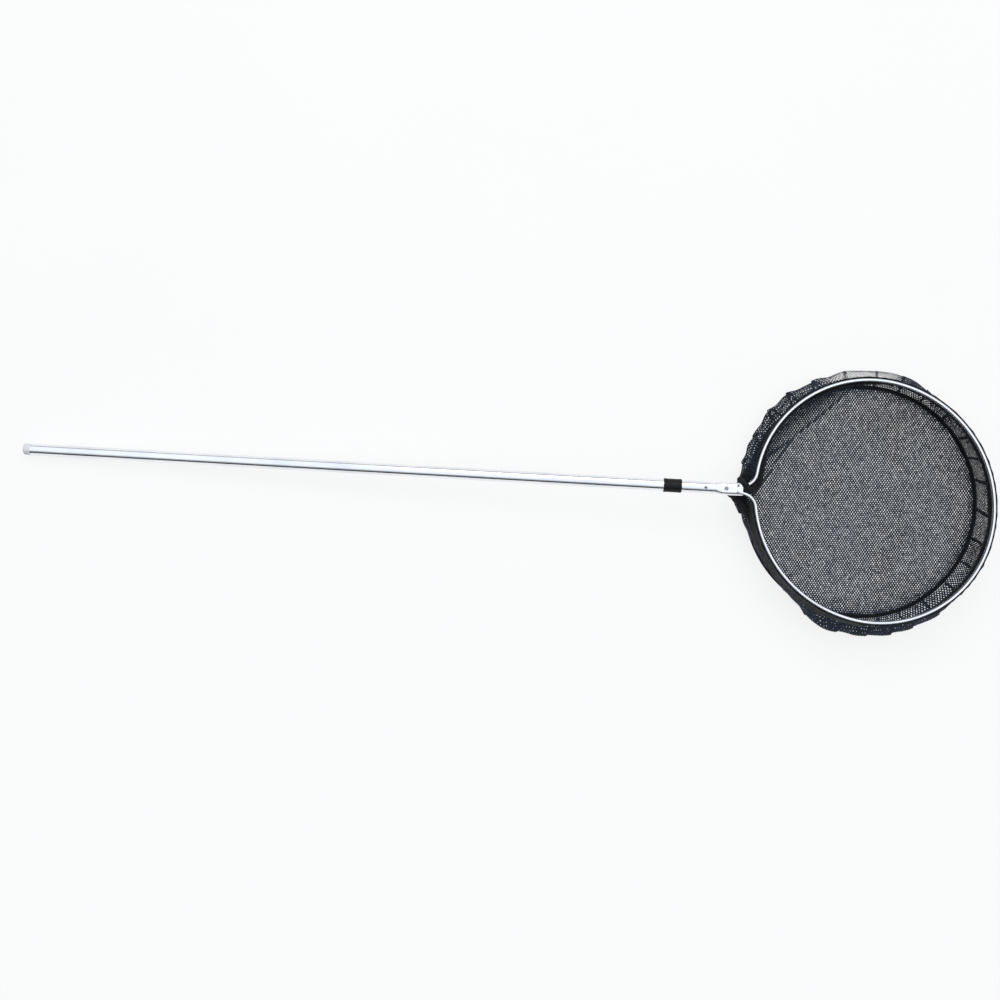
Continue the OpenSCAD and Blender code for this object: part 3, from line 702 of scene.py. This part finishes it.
stitch = {
    "pitch": 4.6, "long": 3.4, "wide": 0.75, "high": 0.5,
    "hemRows": (0.1, 0.86),     # shares of the hem's depth
    "seamRows": (-2.0, 2.3),    # mm out from the seam
}


def stitchRow(count, pathAt, liftAt):
    # long low lozenges laid end to end along pathAt(a), raised along liftAt(a)
    a = np.arange(count) * 360 / count
    step = 180 * stitch["long"] / stitch["pitch"] / count
    mid, rise = pathAt(a), liftAt(a)
    tips = [pathAt(a - step) + rise * 0.1, pathAt(a + step) + rise * 0.1]
    run = (tips[1] - tips[0]) / np.linalg.norm(tips[1] - tips[0], axis=1, keepdims=True)
    side = np.cross(rise, run)
    ring = [mid + side * stitch["wide"] / 2, mid + rise * stitch["high"], mid - side * stitch["wide"] / 2,
            mid - rise * 0.15]
    points = np.stack(tips + ring, axis=1)
    base = 6 * np.arange(count)[:, None]
    faces = [[0, 3, 2], [0, 4, 3], [0, 5, 4], [0, 2, 5], [1, 2, 3], [1, 3, 4], [1, 4, 5], [1, 5, 2]]
    return points.reshape(-1, 3), np.concatenate([base + np.array([f]) for f in faces]).tolist()


def hemRow(face, depth):
    return lambda a: hemEdge(a, np.full_like(a, depth), face * half)


def hemLift(face):
    def at(a):
        middle = np.full_like(a, 0.5)
        step = hemEdge(a, middle, face * (half + 0.5)) - hemEdge(a, middle, face * half)
        return step / np.linalg.norm(step, axis=1, keepdims=True)
    return at


def seamRow(radius):
    def at(a):
        shift = np.interp(a % 360, stations, seamShift, period=360)
        xy = bagMid + (radius + shift)[:, None] * way(a)
        return np.concatenate([xy, np.full((len(a), 1), seam["high"] + 0.2)], -1)
    return at


def straightUp(a):
    return np.tile([0.0, 0.0, 1.0], (len(a), 1))


def joinRows(rows):
    points, faces, start = [], [], 0
    for p, f in rows:
        points.append(p)
        faces += [[i + start for i in face] for face in f]
        start += len(p)
    return np.concatenate(points), faces


count = int(2 * math.pi * tool["ovalMean"] / stitch["pitch"])
rows = [stitchRow(count, hemRow(face, depth), hemLift(face))
        for face in (-1, 1) for depth in stitch["hemRows"]]
hemStitches = makePiece("hemStitches", *joinRows(rows), seamThread, slot="black_cord")
rows = [stitchRow(count, seamRow(tool["bagRadius"] + out), straightUp) for out in stitch["seamRows"]]
seamStitches = makePiece("seamStitches", *joinRows(rows), seamThread, slot="black_cord")
print("stitching done")

# Gathered hem round the mouth, where the rail is open: a fluted bunch, fuller on one side
gather = {
    # direction, reach out from the rail, height and fatness of the bunch
    "run": [(170, 13, -14, 2.5), (174, 14, -15, 7), (177, 18, -19, 9), (179.2, 27, -23, 10),
            (180.6, 42, -25, 11), (182.2, 41, -25, 11.5), (185, 27, -25, 11), (188.5, 14, -25, 8),
            (193, 7, -24, 5), (198, 5, -22, 2.5)],
    "puckers": 13,         # along the bunch
    "flutes": 9,           # round it
    "sides": 54,
    # a tongue of it folds over one leg: on from the mouth, sideways and up, with its radius
    "tongue": [(-9, 23, -9, 3.0), (-4, 19, -2, 4.0), (0.5, 14, 5.5, 4.2), (5, 8.5, 9.2, 4.0),
               (9.5, 3, 5.5, 4.4), (15, -2, -3, 4.7), (20, -5, -12, 3.5)],
    "tongueTall": 1.5,     # height of the tongue's section for its width
    "tongueSides": 30,
}
table = np.array(gather["run"], float)
run = np.linspace(table[0, 0], table[-1, 0], 150)
out, high, fat = (eased(np.interp(run, table[:, 0], table[:, k]), 9) for k in (1, 2, 3))
t = (run - run[0]) / (run[-1] - run[0])
outline = []
for j in range(gather["sides"]):
    turn = 2 * math.pi * j / gather["sides"]
    flute = 1 + 0.1 * np.cos(gather["flutes"] * turn + 2.2 * np.sin(7 * t)) + 0.07 * np.cos(4 * turn - 11 * t)
    pucker = 1 + 0.07 * np.sin(2 * math.pi * gather["puckers"] * t + 1.5 * math.sin(turn))
    r = fat * flute * pucker
    p = ovalPoint(run, tool["wallOut"] + out + r * math.cos(turn))
    outline.append(toFloor(p[:, 0], p[:, 1], high + r * math.sin(turn)))
bunch = sweptBand(np.stack(outline, axis=1), False)

tongue = np.array(gather["tongue"], float)
at = np.linspace(0, len(tongue) - 1, 60)
path = np.stack([eased(np.interp(at, np.arange(len(tongue)), column), 11) for column in tongue.T], -1)
run = np.gradient(path[:, :3], axis=0)
run /= np.linalg.norm(run, axis=1, keepdims=True)
side = np.cross(run, [0.6, 0.8, 0.0])     # any level direction that the path never takes
side /= np.linalg.norm(side, axis=1, keepdims=True)
rise = np.cross(side, run)
outline = []
for j in range(gather["tongueSides"]):
    turn = 2 * math.pi * j / gather["tongueSides"]
    r = path[:, 3] * (1 + 0.12 * math.cos(5 * turn) + 0.1 * np.sin(at * 4 + 2 * math.sin(turn)))
    wide, tall = r * math.cos(turn), gather["tongueTall"] * r * math.sin(turn)
    p = path[:, :3] + wide[:, None] * side + tall[:, None] * rise
    outline.append(toFloor(tool["reach"] + p[:, 0], p[:, 1], p[:, 2]))
points, faces = joinRows([bunch, sweptBand(np.stack(outline, axis=1), False)])
gatheredHem = makePiece("gatheredHem", points, faces, tapeCloth, slot="hem_tape", replaces=["throat_gather"])
print("gathered hem made")

stage = {
    "floorSize": 60.0,
    "floorShades": ("#f8f8f7", "#fcfcfb"),
    "floorWhite": 0.8,          # share of plain white that camera and mirror rays see
    "cameraHeight": 2.400,      # camera looks straight down
    "cameraAt": (0.002, -0.051),
    "cameraRoll": 3.29,
    "lens": 39.92,
    "skyShade": "#f0f4fa",
    "skyLow": 0.06, "skyHigh": 1.22,    # sky strength away from and towards skyFrom
    "skyFrom": (0, 0.42, 0.91),
    "skySpread": (0.08, 0.8),   # cosines to skyFrom between which it grows
    "skyHorizon": 0.06,         # share of it left at the horizon, and the heights it climbs back over
    "skyClimb": (0.2, 0.5),
    "haze": (0.16, 0.21),       # heights over which the plain white low in the sky ends
    "keyPower": 26.0,
    "keyAt": (0.1, 2.4, 2.9),
    "keyAims": (0.3, 0, 0),
    "keySize": 1.8,
}


def showWhite(owner, usual, white, sockets=None, values=None):
    # camera, mirror and glass rays see plain white by a share, and all other rays the usual shader
    rays = addNode(owner, "ShaderNodeLightPath").outputs
    seen = rays["Is Camera Ray"]
    for kind in ("Is Glossy Ray", "Is Transmission Ray"):
        seen = addNode(owner, "ShaderNodeMath", {0: seen, 1: rays[kind]},
                       operation="MAXIMUM").outputs["Value"]
    share = addNode(owner, "ShaderNodeMath", {0: seen, **(sockets or {})}, values, operation="MULTIPLY")
    both = addNode(owner, "ShaderNodeMixShader", {"Fac": share.outputs["Value"], 1: usual, 2: white})
    output = next(node for node in owner.node_tree.nodes if "Surface" in node.inputs)
    owner.node_tree.links.new(both.outputs["Shader"], output.inputs["Surface"])


# painted board: matt, with a faint cloudiness
floorMat, floorShader = newMaterial("mattPaleFloor", Roughness=0.9)
grain = addNode(floorMat, "ShaderNodeTexNoise", {"Vector": objectPlace(floorMat)}, Scale=perMetre(333.3),
                Detail=6.0)
tint = addNode(floorMat, "ShaderNodeValToRGB", {"Fac": grain.outputs["Fac"]},
               stops=[(0.3, stage["floorShades"][0]), (0.7, stage["floorShades"][1])])
feed(floorMat, floorShader, "Base Color", tint.outputs["Color"])
white = addNode(floorMat, "ShaderNodeEmission", Color=(1, 1, 1, 1), Strength=1.0)
showWhite(floorMat, floorShader.outputs["BSDF"], white.outputs["Emission"], values={1: stage["floorWhite"]})
far = stage["floorSize"] / 2
floorMesh = bpy.data.meshes.new("floor")
floorMesh.from_pydata([(-far, -far, 0), (far, -far, 0), (far, far, 0), (-far, far, 0)], [], [(0, 1, 2, 3)])
floorMesh.materials.append(floorMat)
floor = bpy.data.objects.new("floor", floorMesh)
bpy.context.scene.collection.objects.link(floor)

sky = bpy.data.worlds.new("softStudio")
sky.use_nodes = True
background = sky.node_tree.nodes["Background"]
background.inputs["Color"].default_value = linear(stage["skyShade"])
looking = addNode(sky, "ShaderNodeTexCoord").outputs["Generated"]
facing = addNode(sky, "ShaderNodeVectorMath", {0: looking}, {1: stage["skyFrom"]}, operation="DOT_PRODUCT")
(spreadLow, spreadHigh), (climbLow, climbHigh), (hazeLow, hazeHigh) = (
    stage[name] for name in ("skySpread", "skyClimb", "haze"))
glow = addNode(sky, "ShaderNodeMapRange", {"Value": facing.outputs["Value"]}, interpolation_type="SMOOTHSTEP",
               **{"From Min": spreadLow, "From Max": spreadHigh, "To Min": stage["skyLow"],
                  "To Max": stage["skyHigh"]})
up = addNode(sky, "ShaderNodeSeparateXYZ", {0: looking})
climb = addNode(sky, "ShaderNodeMapRange", {"Value": up.outputs["Z"]}, interpolation_type="SMOOTHSTEP",
                **{"From Min": climbLow, "From Max": climbHigh, "To Min": stage["skyHorizon"], "To Max": 1.0})
glow = addNode(sky, "ShaderNodeMath", {0: glow.outputs["Result"], 1: climb.outputs["Result"]},
               operation="MULTIPLY")
sky.node_tree.links.new(glow.outputs["Value"], background.inputs["Strength"])
haze = addNode(sky, "ShaderNodeBackground", Color=(1, 1, 1, 1), Strength=1.0)
low = addNode(sky, "ShaderNodeMapRange", {"Value": up.outputs["Z"]}, interpolation_type="SMOOTHSTEP",
              **{"From Min": hazeLow, "From Max": hazeHigh, "To Min": 1.0, "To Max": 0.0})
showWhite(sky, background.outputs["Background"], haze.outputs["Background"],
          sockets={1: low.outputs["Result"]})
bpy.context.scene.world = sky

keyLamp = bpy.data.lights.new("key", "AREA")
keyLamp.energy, keyLamp.size = stage["keyPower"], stage["keySize"]
key = bpy.data.objects.new("key", keyLamp)
key.location = stage["keyAt"]
key.rotation_euler = (Vector(stage["keyAims"]) - key.location).to_track_quat("-Z", "Y").to_euler()
bpy.context.scene.collection.objects.link(key)

cameraData = bpy.data.cameras.new("camera")
cameraData.lens = stage["lens"]
camera = bpy.data.objects.new("camera", cameraData)
camera.location = (*stage["cameraAt"], stage["cameraHeight"])
camera.rotation_euler = (0, 0, math.radians(stage["cameraRoll"]))
bpy.context.scene.collection.objects.link(camera)
bpy.context.scene.camera = camera
bpy.context.scene.view_settings.view_transform = "Standard"
print("stage ready")
